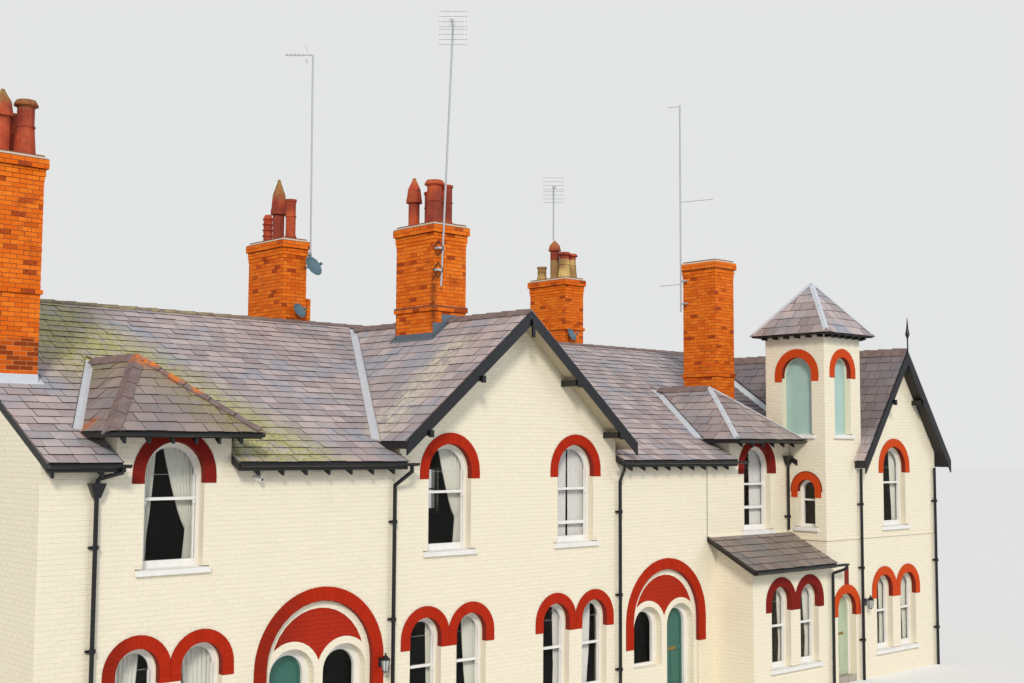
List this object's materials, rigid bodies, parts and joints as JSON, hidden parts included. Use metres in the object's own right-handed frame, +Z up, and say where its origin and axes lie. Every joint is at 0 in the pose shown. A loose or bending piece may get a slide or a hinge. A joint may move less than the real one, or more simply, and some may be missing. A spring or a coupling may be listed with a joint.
{
  "type": "pair of joined brick houses with a turreted end house",
  "caption": "Joined two-storey brick houses with round-arched openings, a shared front gable, half-dormers, slate roofs, tall stacks and a turreted end house",
  "frame": {"origin": "on the ground, on the party line between the two houses, in the outer face of the front wall", "axes": "+X along the row towards the turret, +Y from the front to the back, +Z up"},
  "size_m": [25.045, 13.78, 15.45],
  "materials": {
    "cream_brick": "masonry paint on brick",
    "red_brick": "masonry paint on brick",
    "orange_brick": "bare brick",
    "slate": "riven",
    "clay_ridge": "matt",
    "lead": "weathered lead",
    "black_timber": "gloss paint",
    "black_iron": "gloss paint",
    "white_timber": "gloss paint",
    "sill_stone": "masonry paint",
    "teal_timber": "gloss paint",
    "sage_timber": "gloss paint",
    "blind_panel": "satin paint",
    "glass": "clear",
    "floor_boards": "sawn",
    "flagstone": "worn",
    "terracotta": "matt",
    "galvanised": "dull"
  },
  "bodies": {
    "houses": {"aerials_and_dishes": "galvanised", "bargeboards": "black_timber", "chimney_pots": "terracotta", "chimneys": "orange_brick", "door_frames": "white_timber", "downpipes": "black_iron", "end_wall_right": "cream_brick", "entrance_heads": "cream_brick", "entrance_piers": "cream_brick", "entrance_rings": "red_brick", "first_floor": "floor_boards", "front_glass": "glass", "front_wall_gable": "cream_brick", "front_wall_left": "cream_brick", "front_wall_right": "cream_brick", "front_walls_over_entrances": "cream_brick", "front_window_frames": "white_timber", "gable_roof": "slate", "ground_floor": "flagstone", "gutters": "black_iron", "half_dormer_roofs": "slate", "lean_to_roof": "slate", "lean_to_wall": "cream_brick", "lower_window_rings": "red_brick", "main_roof_front": "slate", "main_roof_rear": "slate", "party_wall_left": "cream_brick", "rear_glass": "glass", "rear_wall": "cream_brick", "rear_window_frames": "white_timber", "ridge_tiles": "clay_ridge", "roof_leads": "lead", "string_course": "cream_brick", "turret_blind_panels": "blind_panel", "turret_rings": "red_brick", "turret_roof": "slate", "turret_wall_over_door": "cream_brick", "turret_walls": "cream_brick", "tympana": "red_brick", "upper_window_rings": "red_brick", "window_sills": "sill_stone", "wing_roof": "slate", "wing_wall": "cream_brick"},
    "left_door": {"door_left": "teal_timber"},
    "right_door": {"door_right": "teal_timber"},
    "turret_door": {"door_turret": "sage_timber"}
  },
  "joints": [
    {"name": "left_door_hinge", "type": "hinge", "parent": "houses", "child": "left_door", "pos_m": [-5.674, 0.385, 1], "axis": [0, 0, 1], "range_deg": [0, 85]},
    {"name": "right_door_hinge", "type": "hinge", "parent": "houses", "child": "right_door", "pos_m": [5.674, 0.385, 1], "axis": [0, 0, -1], "range_deg": [0, 85]},
    {"name": "turret_door_hinge", "type": "hinge", "parent": "houses", "child": "turret_door", "pos_m": [10.674, -0.825, 1], "axis": [0, 0, -1], "range_deg": [0, 85]}
  ]
}
